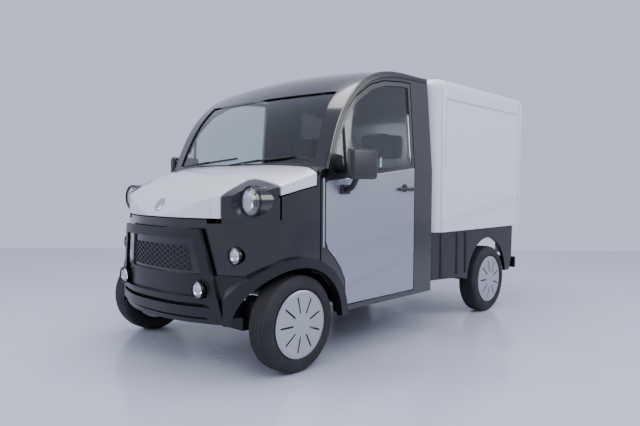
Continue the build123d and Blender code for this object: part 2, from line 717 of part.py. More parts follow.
seat_y = 340.0
seat_half_width = 225.0
seat_line = [(-650, 500), (-640, 590), (-700, 622), (-1010, 588), (-1105, 1100), (-1150, 1130), (-1195, 1100), (-1105, 560), (-1080, 480), (-700, 470)]
headrest_line = [(-1120, 1190), (-1150, 1350), (-1195, 1372), (-1225, 1340), (-1200, 1190)]
with BuildPart() as seats:
    for side in (-1, 1):
        low_y, high_y = side * seat_y - seat_half_width, side * seat_y + seat_half_width
        add(side_prism(seat_line, low_y, high_y))
        add(block(-1060, -740, low_y + 30, high_y - 30, floor_height + floor_thickness + seat_gap, 480))
        add(side_prism(headrest_line, side * seat_y - 120, side * seat_y + 120))
        for post in (-60, 60):
            add(upright(-1162, side * seat_y + post, 7, 1090, 1240))
save(seats.part, "seats")

# Load box
box_rear = wheelbase + rear_overhang


def box_form(rear, front, inset):
    """The box's rounded outer form between two distances ahead, moved in by inset."""
    with BuildPart() as form:
        add(block(-box_rear - 300, -box_front_setback - inset, -box_half_width + inset, box_half_width - inset,
                  box_bottom + inset, box_top - inset))
        front_uprights = form.edges().filter_by(Axis.Z).group_by(Axis.X)[-1]
        fillet(front_uprights, box_corner_radius - inset)
        top_edges = form.edges().group_by(Axis.Z)[-1]
        fillet(top_edges.filter_by(lambda e: e.center().X > ahead(-box_rear - 290)), box_roof_radius - inset)
        add(block(rear, front, -900, 900, 0, 2000), mode=Mode.INTERSECT)
    return form.part


box_door_front = -box_rear + rear_door_thickness
rear_hinge_y = box_half_width
with BuildPart() as box_body:
    add(box_form(box_door_front + panel_gap, 0, 0))
    add(box_form(box_door_front, -box_front_setback - box_wall + 1, box_wall), mode=Mode.SUBTRACT)
save(box_body.part, "box_body")

with BuildPart() as rear_door:
    add(box_form(-box_rear, box_door_front, 0))
    add(block(-box_rear - 10, 0, -900, panel_gap / 2, 0, 2000), mode=Mode.SUBTRACT)
save(rear_door.part, "rear_door_left")
save(mirrored(rear_door.part), "rear_door_right")

skirt_outline = [
    (-cab_rear_setback - 6, box_bottom - 4), (-cab_rear_setback - 6, skirt_bottom_front), (-1700, 318), (-1830, skirt_bottom_rear),
    (-2560, skirt_bottom_rear), (-2600, 400), (-2610, box_bottom - 4),
]
with BuildPart() as side_skirts:
    for side in (-1, 1):
        low_y, high_y = sorted((side * skirt_y, side * (skirt_y - skirt_thickness)))
        add(side_prism(skirt_outline, low_y, high_y))
    add(cross_bar(-wheelbase, hub_height, rear_arch_radius, -900, 900), mode=Mode.SUBTRACT)
save(side_skirts.part, "side_skirts")

with BuildPart() as rear_bumper:
    add(block(-box_rear + 5, -frame_rear - tow_plate - seat_gap, -skirt_y, skirt_y, 300, 392))
    add(block(-frame_rear - tow_plate - seat_gap - 5, -frame_rear - tow_plate - seat_gap, -rail_y, rail_y, 380, 388))
save(rear_bumper.part, "rear_bumper")

with BuildPart() as rear_lamps:
    for side in (-1, 1):
        low_y, high_y = sorted((side * 560, side * 700))
        add(block(-box_rear + 8, -box_rear + 50, low_y, high_y, 420, 620))
save(rear_lamps.part, "rear_lamps")
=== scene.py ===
"""Looks of a two-seat microcar pickup with a closed load box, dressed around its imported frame."""
import json
from math import atan2, copysign, cos, hypot, pi, radians, sin

import bpy
from mathutils import Matrix, Vector


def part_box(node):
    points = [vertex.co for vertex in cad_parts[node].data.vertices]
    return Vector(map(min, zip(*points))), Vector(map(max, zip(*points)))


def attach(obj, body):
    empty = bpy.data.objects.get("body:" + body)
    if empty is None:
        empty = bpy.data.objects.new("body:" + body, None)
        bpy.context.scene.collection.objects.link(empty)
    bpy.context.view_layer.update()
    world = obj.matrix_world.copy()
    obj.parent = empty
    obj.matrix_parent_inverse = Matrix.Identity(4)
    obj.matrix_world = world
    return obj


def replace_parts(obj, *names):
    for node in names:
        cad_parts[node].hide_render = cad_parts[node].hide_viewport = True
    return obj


bl_info = {
    "name": "Microcar pickup looks",
    "version": (1, 0, 0),
    "blender": (4, 5, 0),
    "location": "View3D > Sidebar > Microcar",
    "description": "Dresses the packed microcar pickup with materials, trim, lamps, seats and a studio",
    "category": "Object",
}

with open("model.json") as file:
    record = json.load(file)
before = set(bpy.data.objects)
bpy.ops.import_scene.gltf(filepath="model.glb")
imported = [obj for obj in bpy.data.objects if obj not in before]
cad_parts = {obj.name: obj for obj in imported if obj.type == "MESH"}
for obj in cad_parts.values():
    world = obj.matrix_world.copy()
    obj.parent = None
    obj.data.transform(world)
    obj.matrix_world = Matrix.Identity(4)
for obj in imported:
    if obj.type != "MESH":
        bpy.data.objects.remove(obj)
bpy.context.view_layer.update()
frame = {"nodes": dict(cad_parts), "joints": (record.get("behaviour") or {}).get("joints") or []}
NODES = frame["nodes"]
JOINT_PLACES = {joint["name"]: joint["pos_m"] for joint in frame["joints"]}
FRONT_AXLE_X, _, HUB_HEIGHT = JOINT_PLACES["steer_left"]
REAR_AXLE_X, WHEEL_Y, _ = JOINT_PLACES["wheel_rear_left_spin"]

# Lengths are in metres. Places along the vehicle count from the front axle, forwards, and become X through ahead().
SIDES = ((1, "left"), (-1, "right"))
MATH = "ShaderNodeMath"
WELD = 0.00005

# The cab's sides stand upright to the shoulder, lean in above it, and end in a long curve over the roof.
SIDE_Y, SHOULDER_HEIGHT = 0.745, 1.095
LEAN_IN, LEAN_RISE = 0.052, 0.632
ROOF_EDGE_RISE, CAB_REAR = 0.627, -1.290
ROOF_EDGE_SHARES = ((0.0, 0.0), (0.059, 0.256), (0.145, 0.525), (0.262, 0.739), (0.388, 0.880), (0.540, 0.965),
                    (0.738, 0.995), (0.97, 1.0))
BELT_FRONT, BELT_HEIGHT, BELT_SLOPE = -0.203, 1.013, -0.112
DOOR_CREASES = (((-0.822, 0.683), (-0.258, 0.601)), ((-1.085, 0.557), (-0.375, 0.447)))
BOX_CREASE = ((-2.690, 0.925), (-1.400, 0.756))
RECESS_FRONT, RECESS_REAR, RECESS_MIDDLE_HEIGHT, RECESS_HALF_HEIGHT = -1.440, -2.600, 1.368, 0.243

# Side, height, place ahead and radius of each lens.
HEADLAMP, TURN_LAMP, FOG_LAMP = (0.591, 0.909, 0.209, 0.074), (0.534, 0.626, 0.269, 0.045), (0.375, 0.445, 0.387, 0.045)
LENS_GAP = 0.0005
# Turned profiles: shares of the lens's radius, and depths in metres. The bulb's radii are in metres too.
BOWL = ((1, -0.004), (0.93, -0.012), (0.72, -0.026), (0.40, -0.035), (0, -0.038), (0, -0.041), (0.42, -0.038),
        (0.76, -0.029), (1, -0.015))
DOME = ((1, -0.006), (0.98, 0), (0.80, 0.006), (0.45, 0.010), (0, 0.0115), (0, 0.0085), (0.45, 0.007), (0.80, 0.003),
        (0.95, -0.004))
RIM = ((1.005, -0.012), (1.10, -0.012), (1.13, -0.004), (1.11, 0.004), (1.05, 0.006), (0.99, 0.003), (0.985, -0.003))
BULB = ((0, -0.034), (0.009, -0.032), (0.012, -0.024), (0.010, -0.016), (0, -0.012))
KNOB = ((0, 0.0105), (0.020, 0.0105), (0.026, 0.006), (0.026, 0), (0, 0))
HANDLE_BOSS = ((0, 0.010), (0.012, 0.010), (0.014, 0), (0, 0))

# Height of the foot and the head, half width at each, and the diamonds' pitch across and up.
UPPER_GRILLE = (0.535, 0.668, 0.300, 0.265, 0.052, 0.029)
LOWER_INTAKE = (0.285, 0.380, 0.400, 0.372, 0.072, 0.030)
GRILLE_BAR_DEPTH, GRILLE_BAR_THICKNESS, GRILLE_BAR_CUTS = 0.006, 0.0055, 7
NET_START, NET_PROUD, NET_TRIM = 0.39, 0.0015, 0.002

SEAT_Y, SEAT_HALF_WIDTH, HEADREST_HALF_WIDTH, BASE_HALF_WIDTH, POST_Y = 0.340, 0.222, 0.118, 0.19, 0.06
SEAT_EDGE, SEAT_CROWN, BACK_LEAN, SEAT_CUTS = 0.030, 0.05, 0.0198, 11

# Name, place, target, side and power of each area light.
LIGHTS = (
    ("key_light", (2.5, 3.5, 4.2), (0, 0, 0.8), 3.0, 95),
    ("side_light", (-2.5, 4.5, 3.0), (-0.6, 0, 0.8), 2.5, 90),
    ("top_light", (0.3, 0.0, 4.5), (0.2, 0, 0.8), 2.5, 120),
    ("front_light", (4.5, -2.0, 2.4), (0.8, 0, 0.7), 2.0, 60),
)


def ahead(distance):
    """X of a point this far ahead of the front axle."""
    return FRONT_AXLE_X + distance


def belt_height(distance):
    """Height of the doors' belt line at a place ahead of the front axle."""
    return BELT_HEIGHT + BELT_SLOPE * (distance - BELT_FRONT)


def linear_colour(hex_text):
    """An sRGB hex colour as linear RGBA."""
    channels = [int(hex_text[i:i + 2], 16) / 255 for i in (1, 3, 5)]
    return [c / 12.92 if c <= 0.04045 else ((c + 0.055) / 1.055) ** 2.4 for c in channels] + [1.0]


def add_node(tree, kind, inputs=None, **settings):
    """Adds a node and fills its inputs with values, hex colours, sockets or other nodes' first outputs."""
    node = tree.nodes.new(kind)
    for key, value in settings.items():
        setattr(node, key, value)
    for key, value in (inputs or {}).items():
        if isinstance(value, bpy.types.Node):
            value = value.outputs[0]
        if isinstance(value, bpy.types.NodeSocket):
            tree.links.new(value, node.inputs[key])
        else:
            node.inputs[key].default_value = linear_colour(value) if isinstance(value, str) else value
    return node


def new_material(name, colour, metallic=0.0, roughness=0.5, sockets=None):
    """A material whose one Principled shader holds constants, with its tree and that shader."""
    material = bpy.data.materials.new(name)
    material.use_nodes = True
    tree = material.node_tree
    surface = tree.nodes["Principled BSDF"]
    surface.inputs["Base Color"].default_value = linear_colour(colour)
    surface.inputs["Metallic"].default_value = metallic
    surface.inputs["Roughness"].default_value = roughness
    for key, value in (sockets or {}).items():
        surface.inputs[key].default_value = value
    return material, tree, surface


def lacquer(name, colour, flake_colour, metallic, roughness, coat):
    """Sprayed lacquer: a clear coat over fine flake, with the faint waviness of sprayed paint."""
    material, tree, surface = new_material(name, colour, metallic, roughness,
                                           {"Coat Weight": coat, "Coat Roughness": 0.05})
    points = add_node(tree, "ShaderNodeTexCoord").outputs["Object"]
    # Flakes about 1 mm apart, coarser than real so that they show, and waves about 80 mm long.
    flake = add_node(tree, "ShaderNodeTexNoise", {"Vector": points, "Scale": 900.0, "Detail": 1.0})
    base = add_node(tree, "ShaderNodeMix", {0: flake, 6: colour, 7: flake_colour}, data_type="RGBA").outputs[2]
    tree.links.new(base, surface.inputs["Base Color"])
    wave = add_node(tree, "ShaderNodeTexNoise", {"Vector": points, "Scale": 12.0, "Detail": 2.0})
    bump = add_node(tree, "ShaderNodeBump", {"Height": wave, "Strength": 0.05, "Distance": 0.004})
    tree.links.new(bump.outputs[0], surface.inputs["Normal"])
    return material, tree, surface, points, bump


def moulded_plastic(name, colour, worn_colour, roughness, grain_mm, grain_depth):
    """Moulded plastic with a fine grain and patches a little paler from handling."""
    material, tree, surface = new_material(name, colour, 0.0, roughness, {"IOR": 1.5})
    points = add_node(tree, "ShaderNodeTexCoord").outputs["Object"]
    patches = add_node(tree, "ShaderNodeTexNoise", {"Vector": points, "Scale": 5.0, "Detail": 4.0})
    base = add_node(tree, "ShaderNodeMix", {0: patches, 6: colour, 7: worn_colour}, data_type="RGBA").outputs[2]
    tree.links.new(base, surface.inputs["Base Color"])
    grain = add_node(tree, "ShaderNodeTexNoise", {"Vector": points, "Scale": 1000 / grain_mm, "Detail": 2.0})
    bump = add_node(tree, "ShaderNodeBump", {"Height": grain, "Strength": grain_depth, "Distance": 0.001})
    tree.links.new(bump.outputs[0], surface.inputs["Normal"])
    return material


def clear_glass(name, colour):
    """Clear glass with faint smears."""
    material, tree, surface = new_material(name, colour, 0.0, 0.02, {"IOR": 1.45, "Transmission Weight": 1.0})
    points = add_node(tree, "ShaderNodeTexCoord").outputs["Object"]
    smear = add_node(tree, "ShaderNodeTexNoise", {"Vector": points, "Scale": 6.0, "Detail": 3.0})
    rough = add_node(tree, "ShaderNodeMapRange",
                     {"Value": smear, "From Min": 0.3, "From Max": 0.8, "To Min": 0.02, "To Max": 0.06},
                     interpolation_type="SMOOTHSTEP")
    tree.links.new(rough.outputs[0], surface.inputs["Roughness"])
    return material


def side_creases(tree, lines, points, width):
    """Height of pressed creases on a side: each rises at a straight edge and falls away below it over a width.

    A line is two points, each a place ahead of the front axle and a height."""
    split = add_node(tree, "ShaderNodeSeparateXYZ", {"Vector": points})
    edge, end = 0.003, 0.04
    total = None
    for (x0, z0), (x1, z1) in lines:
        slope = (z1 - z0) / (x1 - x0)
        level = add_node(tree, MATH, {0: split.outputs["X"], 1: slope, 2: z0 - slope * ahead(x0)},
                         operation="MULTIPLY_ADD")
        below = add_node(tree, MATH, {0: level, 1: split.outputs["Z"]}, operation="SUBTRACT")
        rear, front = ahead(min(x0, x1)), ahead(max(x0, x1))
        ridge = 1.0
        for value, low, high, to_low, to_high in (
                (below, -edge, edge, 0.0, 1.0), (below, 0.0, width, 1.0, 0.0),
                (split.outputs["X"], rear, rear + end, 0.0, 1.0), (split.outputs["X"], front - end, front, 1.0, 0.0)):
            share = add_node(tree, "ShaderNodeMapRange",
                             {"Value": value, "From Min": low, "From Max": high, "To Min": to_low, "To Max": to_high},
                             interpolation_type="SMOOTHSTEP")
            ridge = add_node(tree, MATH, {0: ridge, 1: share}, operation="MULTIPLY")
        total = add_node(tree, MATH, {0: total, 1: ridge}, operation="MAXIMUM") if total else ridge
    return total


def white_gelcoat(colour):
    """Polished gelcoat on glass fibre: white, wavy, softly glossy, with the box's pressed recess and crease."""
    material, tree, surface, points, wave = lacquer("white_gelcoat", colour, "#E3E5EC", 0.0, 0.32, 0.35)
    split = add_node(tree, "ShaderNodeSeparateXYZ", {"Vector": points})
    outside = []
    for axis, middle, half in (("X", ahead((RECESS_FRONT + RECESS_REAR) / 2), (RECESS_FRONT - RECESS_REAR) / 2),
                               ("Z", RECESS_MIDDLE_HEIGHT, RECESS_HALF_HEIGHT)):
        offset = add_node(tree, MATH, {0: split.outputs[axis], 1: middle}, operation="SUBTRACT")
        distance = add_node(tree, MATH, {0: offset}, operation="ABSOLUTE")
        outside.append(add_node(tree, MATH, {0: distance, 1: half}, operation="SUBTRACT"))
    past = add_node(tree, MATH, {0: outside[0], 1: outside[1]}, operation="MAXIMUM")
    recess = add_node(tree, "ShaderNodeMapRange", {"Value": past, "From Min": -0.012, "From Max": 0.010},
                      interpolation_type="SMOOTHSTEP")
    sideways = add_node(tree, MATH, {0: split.outputs["Y"]}, operation="ABSOLUTE")
    on_side = add_node(tree, "ShaderNodeMapRange", {"Value": sideways, "From Min": 0.745, "From Max": 0.757},
                       interpolation_type="SMOOTHSTEP")
    crease = add_node(tree, MATH, {0: side_creases(tree, [BOX_CREASE], points, 0.080), 1: 0.7, 2: recess},
                      operation="MULTIPLY_ADD")
    form = add_node(tree, MATH, {0: crease, 1: on_side}, operation="MULTIPLY")
    bump = add_node(tree, "ShaderNodeBump", {"Height": form, "Strength": 1.0, "Distance": 0.012, "Normal": wave})
    tree.links.new(bump.outputs[0], surface.inputs["Normal"])
    return material


def door_lacquer(colour, frame_colour):
    """Metallic silver lacquer below the belt line and black above it, with the doors' pressed creases."""
    material, tree, surface, points, wave = lacquer("sprayed_metallic_silver", colour, "#A6A9B4", 0.7, 0.36, 0.5)
    split = add_node(tree, "ShaderNodeSeparateXYZ", {"Vector": points})
    belt = add_node(tree, MATH, {0: split.outputs["X"], 1: BELT_SLOPE, 2: belt_height(-FRONT_AXLE_X)},
                    operation="MULTIPLY_ADD")
    over = add_node(tree, MATH, {0: split.outputs["Z"], 1: belt}, operation="SUBTRACT")
    above = add_node(tree, "ShaderNodeMapRange", {"Value": over, "From Min": -0.001, "From Max": 0.001},
                     interpolation_type="SMOOTHSTEP")
    silver = surface.inputs["Base Color"].links[0].from_socket
    base = add_node(tree, "ShaderNodeMix", {0: above, 6: silver, 7: frame_colour}, data_type="RGBA").outputs[2]
    tree.links.new(base, surface.inputs["Base Color"])
    metal = add_node(tree, MATH, {0: above, 1: -0.7, 2: 0.7}, operation="MULTIPLY_ADD")
    tree.links.new(metal.outputs[0], surface.inputs["Metallic"])
    creases = side_creases(tree, DOOR_CREASES, points, 0.055)
    bump = add_node(tree, "ShaderNodeBump", {"Height": creases, "Strength": 1.0, "Distance": 0.008, "Normal": wave})
    tree.links.new(bump.outputs[0], surface.inputs["Normal"])
    return material


def tyre_rubber(place, axle_x):
    """Tyre rubber: dark and dull, with grooves round the tread, short sipes and a ribbed sidewall; the cuts are painted
    darker as painted shade.
    """
    material, tree, surface = new_material(f"tyre_rubber_{place}", "#151517", 0.0, 0.72, {"IOR": 1.52})
    points = add_node(tree, "ShaderNodeTexCoord").outputs["Object"]
    split = add_node(tree, "ShaderNodeSeparateXYZ", {"Vector": points})
    sideways = add_node(tree, MATH, {0: split.outputs["Y"]}, operation="ABSOLUTE")
    offset = add_node(tree, MATH, {0: sideways, 1: WHEEL_Y}, operation="SUBTRACT")
    run_x = add_node(tree, MATH, {0: split.outputs["X"], 1: axle_x}, operation="SUBTRACT")
    run_z = add_node(tree, MATH, {0: split.outputs["Z"], 1: HUB_HEIGHT}, operation="SUBTRACT")
    angle = add_node(tree, MATH, {0: run_z, 1: run_x}, operation="ARCTAN2")
    square_x = add_node(tree, MATH, {0: run_x, 1: run_x}, operation="MULTIPLY")
    square = add_node(tree, MATH, {0: run_z, 1: run_z, 2: square_x}, operation="MULTIPLY_ADD")
    radius = add_node(tree, MATH, {0: square}, operation="SQRT")
    # Grooves 24 mm apart and about 7 mm wide, and slanting sipes every 4 degrees.
    turns = add_node(tree, MATH, {0: angle, 1: 14.3}, operation="MULTIPLY")
    standing = 1.0
    for run, width, edge in (
            (add_node(tree, MATH, {0: offset, 1: 1 / 0.024}, operation="MULTIPLY"), 0.10, 0.17),
            (add_node(tree, MATH, {0: offset, 1: 9.0, 2: turns}, operation="MULTIPLY_ADD"), 0.03, 0.07)):
        share = add_node(tree, MATH, {0: run}, operation="FRACT")
        centred = add_node(tree, MATH, {0: share, 1: 0.5}, operation="SUBTRACT")
        distance = add_node(tree, MATH, {0: centred}, operation="ABSOLUTE")
        block = add_node(tree, "ShaderNodeMapRange", {"Value": distance, "From Min": width, "From Max": edge},
                         interpolation_type="SMOOTHSTEP")
        standing = add_node(tree, MATH, {0: standing, 1: block}, operation="MULTIPLY")
    from_middle = add_node(tree, MATH, {0: offset}, operation="ABSOLUTE")
    on_tread = add_node(tree, "ShaderNodeMapRange",
                        {"Value": from_middle, "From Min": 0.048, "From Max": 0.052, "To Min": 1.0, "To Max": 0.0},
                        interpolation_type="SMOOTHSTEP")
    cut = add_node(tree, MATH, {0: 1.0, 1: standing}, operation="SUBTRACT")
    grooves_cut_and_shaded = add_node(tree, MATH, {0: cut, 1: on_tread}, operation="MULTIPLY")
    # Moulded rings on the sidewall, 7 mm apart.
    phase = add_node(tree, MATH, {0: radius, 1: 900.0}, operation="MULTIPLY")
    rings = add_node(tree, MATH, {0: phase}, operation="SINE")
    low_rings = add_node(tree, MATH, {0: rings, 1: 0.06}, operation="MULTIPLY")
    off_tread = add_node(tree, MATH, {0: 1.0, 1: on_tread}, operation="SUBTRACT")
    wall = add_node(tree, MATH, {0: low_rings, 1: off_tread}, operation="MULTIPLY")
    height = add_node(tree, MATH, {0: wall, 1: grooves_cut_and_shaded}, operation="SUBTRACT")
    bump = add_node(tree, "ShaderNodeBump", {"Height": height, "Strength": 1.0, "Distance": 0.006})
    tree.links.new(bump.outputs[0], surface.inputs["Normal"])
    dust = add_node(tree, "ShaderNodeTexNoise", {"Vector": points, "Scale": 14.0, "Detail": 4.0})
    dusty = add_node(tree, "ShaderNodeMapRange", {"Value": dust, "From Min": 0.35, "From Max": 0.75},
                     interpolation_type="SMOOTHSTEP")
    worn = add_node(tree, "ShaderNodeMix", {0: dusty, 6: "#131315", 7: "#222226"}, data_type="RGBA").outputs[2]
    # Painted shade: the grooves and sipes are painted near black where shade falls inside the cuts.
    base = add_node(tree, "ShaderNodeMix", {0: grooves_cut_and_shaded, 6: worn, 7: "#060607"}, data_type="RGBA").outputs[2]
    tree.links.new(base, surface.inputs["Base Color"])
    return material


def paint_nodes(material, *names):
    for name in names:
        NODES[name].data.materials.clear()
        NODES[name].data.materials.append(material)


def deselect_all():
    if bpy.context.object and bpy.context.object.mode != "OBJECT":
        bpy.ops.object.mode_set(mode="OBJECT")
    bpy.ops.object.select_all(action="DESELECT")


def select_only(piece):
    deselect_all()
    piece.select_set(True)
    bpy.context.view_layer.objects.active = piece


def apply_all(piece):
    """Applies a piece's modifiers and then its transform."""
    select_only(piece)
    for modifier in list(piece.modifiers):
        bpy.ops.object.modifier_apply(modifier=modifier.name)
    bpy.ops.object.transform_apply(location=True, rotation=True, scale=True)


def add_modifier(piece, kind, **settings):
    modifier = piece.modifiers.new(kind.lower(), kind)
    for key, value in settings.items():
        setattr(modifier, key, value)


def join(pieces):
    """Joins pieces into one once each is applied."""
    for piece in pieces:
        apply_all(piece)
    deselect_all()
    for piece in pieces:
        piece.select_set(True)
    bpy.context.view_layer.objects.active = pieces[0]
    bpy.ops.object.join()
    return bpy.context.object


def finish_piece(piece, name, material, body, smooth_angle=35):
    """Applies, welds and smooths a piece, names it, gives it its finish and lets it ride on its body."""
    apply_all(piece)
    bpy.ops.object.mode_set(mode="EDIT")
    bpy.ops.mesh.select_all(action="SELECT")
    bpy.ops.mesh.remove_doubles(threshold=WELD)
    bpy.ops.mesh.normals_make_consistent(inside=False)
    bpy.ops.object.mode_set(mode="OBJECT")
    bpy.ops.object.shade_smooth_by_angle(angle=radians(smooth_angle))
    piece.name = name
    piece.data.name = name
    piece.data.materials.clear()
    piece.data.materials.append(material)
    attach(piece, body)
    return piece


def rounded_block(low, high, radius, segments=3):
    """A box between two corners, its edges rounded."""
    deselect_all()
    low, high = Vector(low), Vector(high)
    bpy.ops.mesh.primitive_cube_add(size=1, location=(low + high) / 2)
    piece = bpy.context.object
    piece.scale = high - low
    bpy.ops.object.transform_apply(location=True, rotation=True, scale=True)
    add_modifier(piece, "BEVEL", width=radius, segments=segments, limit_method="ANGLE")
    return piece


def rod(points, radius, smooth=True):
    """A round rod along points."""
    curve = bpy.data.curves.new("rod", "CURVE")
    curve.dimensions = "3D"
    spline = curve.splines.new("NURBS" if smooth else "POLY")
    spline.points.add(len(points) - 1)
    for point, place in zip(spline.points, points):
        point.co = (*place, 1)
    if smooth:
        spline.order_u = min(3, len(points))
        spline.use_endpoint_u = True
    curve.bevel_depth = radius
    curve.bevel_resolution = 3
    curve.resolution_u = 10
    curve.use_fill_caps = True
    piece = bpy.data.objects.new("rod", curve)
    bpy.context.collection.objects.link(piece)
    select_only(piece)
    bpy.ops.object.convert(target="MESH")
    return bpy.context.object


def turned(profile, centre, axis=(1, 0, 0), steps=48, closed=True):
    """A turned shape: points of a radius and a place along the axis, spun about a line through centre."""
    centre, axis, across = Vector(centre), Vector(axis), Vector((0, 0, 1))
    count = len(profile)
    edges = [(i, (i + 1) % count) for i in range(count if closed else count - 1)]
    mesh = bpy.data.meshes.new("turned")
    mesh.from_pydata([centre + across * radius + axis * depth for radius, depth in profile], edges, [])
    piece = bpy.data.objects.new("turned", mesh)
    bpy.context.collection.objects.link(piece)
    select_only(piece)
    bpy.ops.object.mode_set(mode="EDIT")
    bpy.ops.mesh.select_all(action="SELECT")
    bpy.ops.mesh.spin(steps=steps, angle=2 * pi, center=centre, axis=axis)
    bpy.ops.mesh.select_all(action="SELECT")
    bpy.ops.mesh.remove_doubles(threshold=WELD)
    bpy.ops.object.mode_set(mode="OBJECT")
    return piece


def cushion_form(low, high, lean=0.0):
    """A cushion between two corners: soft edges, faces that crown outwards and corners that draw in."""
    deselect_all()
    bpy.ops.mesh.primitive_cube_add(size=1, location=(0, 0, 0))
    piece = bpy.context.object
    bpy.ops.object.mode_set(mode="EDIT")
    bpy.ops.mesh.select_all(action="SELECT")
    bpy.ops.mesh.subdivide(number_cuts=SEAT_CUTS)
    bpy.ops.object.mode_set(mode="OBJECT")
    low, high = Vector(low), Vector(high)
    half = (high - low) / 2
    soft = [SEAT_EDGE / side for side in half]
    for vertex in piece.data.vertices:
        u = vertex.co * 2
        past = [max(abs(c) - (1 - edge), 0) / edge for c, edge in zip(u, soft)]
        reach = max(past) / hypot(*past) if any(past) else 1
        drawn_in = (1 - SEAT_CROWN * (u.y * u.z) ** 2, 1 - SEAT_CROWN * (u.x * u.z) ** 2,
                    1 - SEAT_CROWN * (u.x * u.y) ** 2)
        vertex.co = [(copysign(1 - edge + p * reach * edge, c) if p > 0 else c) * share * side
                     for c, p, edge, share, side in zip(u, past, soft, drawn_in, half)]
        vertex.co.x -= lean * (vertex.co.z + half.z)
    piece.location = (low + high) / 2
    add_modifier(piece, "SUBSURF", levels=1, render_levels=1)
    return piece


class MicrocarStudio(bpy.types.PropertyGroup):
    """Camera, backdrop and floor."""

    camera_ahead: bpy.props.FloatProperty(
        name="Camera ahead", description="How far the camera stands ahead of the front axle", default=2.1357,
        unit="LENGTH")
    camera_left: bpy.props.FloatProperty(
        name="Camera left", description="How far the camera stands to the vehicle's left", default=2.8511,
        unit="LENGTH")
    camera_height: bpy.props.FloatProperty(
        name="Camera height", description="Height of the lens above the floor", default=0.9819, unit="LENGTH")
    camera_heading: bpy.props.FloatProperty(
        name="Heading", description="Direction of view, turned from straight ahead", default=radians(222.615),
        subtype="ANGLE")
    camera_pitch: bpy.props.FloatProperty(
        name="Pitch", description="Upward tilt of the view", default=radians(-2.533), subtype="ANGLE")
    camera_roll: bpy.props.FloatProperty(
        name="Roll", description="Roll of the view", default=radians(0.340), subtype="ANGLE")
    focal_share: bpy.props.FloatProperty(
        name="Focal share", description="Focal length as a share of the picture's width", default=572.72 / 640)
    floor_depth: bpy.props.FloatProperty(
        name="Floor depth", description="Length of the floor along the view", default=9.5, unit="LENGTH")
    floor_width: bpy.props.FloatProperty(
        name="Floor width", description="Width of the floor across the view", default=26.0, unit="LENGTH")
    floor_colour: bpy.props.StringProperty(name="Floor colour", description="sRGB hex colour", default="#BCC1D6")
    air_colour: bpy.props.StringProperty(name="Backdrop colour", description="sRGB hex colour", default="#CACFE6")
    air_strength: bpy.props.FloatProperty(
        name="Backdrop strength", description="How strongly the backdrop lights the scene", default=1.15)


class MicrocarColours(bpy.types.PropertyGroup):
    """Body colours."""

    bonnet: bpy.props.StringProperty(name="Bonnet", description="sRGB hex colour", default="#D5D7DE")
    door: bpy.props.StringProperty(name="Doors", description="sRGB hex colour", default="#9396A0")
    black: bpy.props.StringProperty(name="Black parts", description="sRGB hex colour", default="#0A0A0C")
    box: bpy.props.StringProperty(name="Load box", description="sRGB hex colour", default="#D9DBE3")
    seat: bpy.props.StringProperty(name="Seats", description="sRGB hex colour", default="#3A3A40")


class MicrocarSizes(bpy.types.PropertyGroup):
    """Sizes of the added trim."""

    badge_radius: bpy.props.FloatProperty(
        name="Badge radius", description="Radius of the plain disc on the bonnet", default=0.043, unit="LENGTH")
    roof_rail_radius: bpy.props.FloatProperty(
        name="Roof rail radius", description="Radius of the rail along each roof edge", default=0.0205, unit="LENGTH")
    door_strip_radius: bpy.props.FloatProperty(
        name="Door strip radius", description="Radius of the bright strip ahead of a door", default=0.0055,
        unit="LENGTH")
    belt_trim_radius: bpy.props.FloatProperty(
        name="Belt trim radius", description="Radius of the trim along the belt line", default=0.004, unit="LENGTH")
    window_post_radius: bpy.props.FloatProperty(
        name="Window post radius", description="Radius of the quarter window's post", default=0.009, unit="LENGTH")
    mirror_arm_radius: bpy.props.FloatProperty(
        name="Mirror arm radius", description="Radius of a mirror's arm", default=0.017, unit="LENGTH")
    headrest_post_radius: bpy.props.FloatProperty(
        name="Headrest post radius", description="Radius of a headrest's posts", default=0.007, unit="LENGTH")


